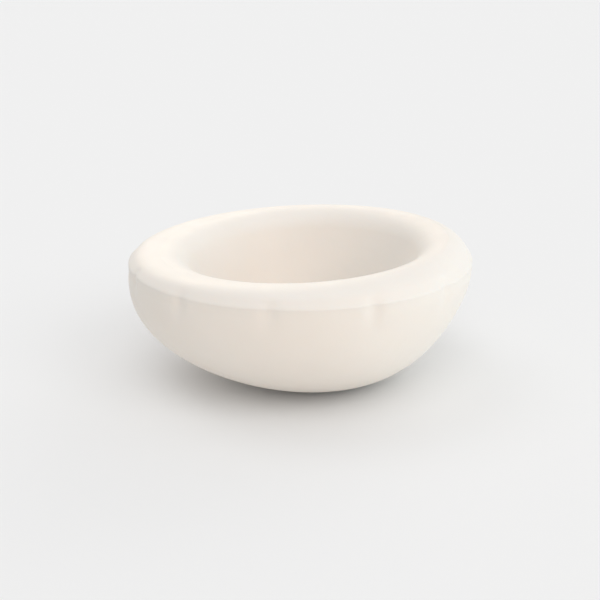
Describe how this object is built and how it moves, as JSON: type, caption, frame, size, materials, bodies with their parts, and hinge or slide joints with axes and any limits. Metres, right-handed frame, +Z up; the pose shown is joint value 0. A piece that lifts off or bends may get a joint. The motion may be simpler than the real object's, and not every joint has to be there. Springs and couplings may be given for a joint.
{
  "type": "shaving bowl",
  "caption": "Glazed ceramic shaving bowl: a low hollow-walled body with a thick rolled rim, a smooth basin for lather and a soft pad under its base.",
  "frame": {"origin": "on the shelf, below the centre of the bowl's widest ring", "axes": "+Z up out of the mouth, +X towards the side that the base and mouth are shifted to, -Y towards the front"},
  "size_m": [0.1202, 0.12, 0.0507],
  "materials": {
    "body_glaze": "satin cream glaze, bare clay on the ring that the base stands in",
    "rim_glaze": "satin cream glaze",
    "pad_silicone": "matt grey silicone",
    "plug_silicone": "matt pale grey silicone"
  },
  "bodies": {
    "root": {"outer_shell": "body_glaze", "rim_basin": "rim_glaze", "foot_pad": "pad_silicone", "vent_plug": "plug_silicone"}
  },
  "joints": []
}
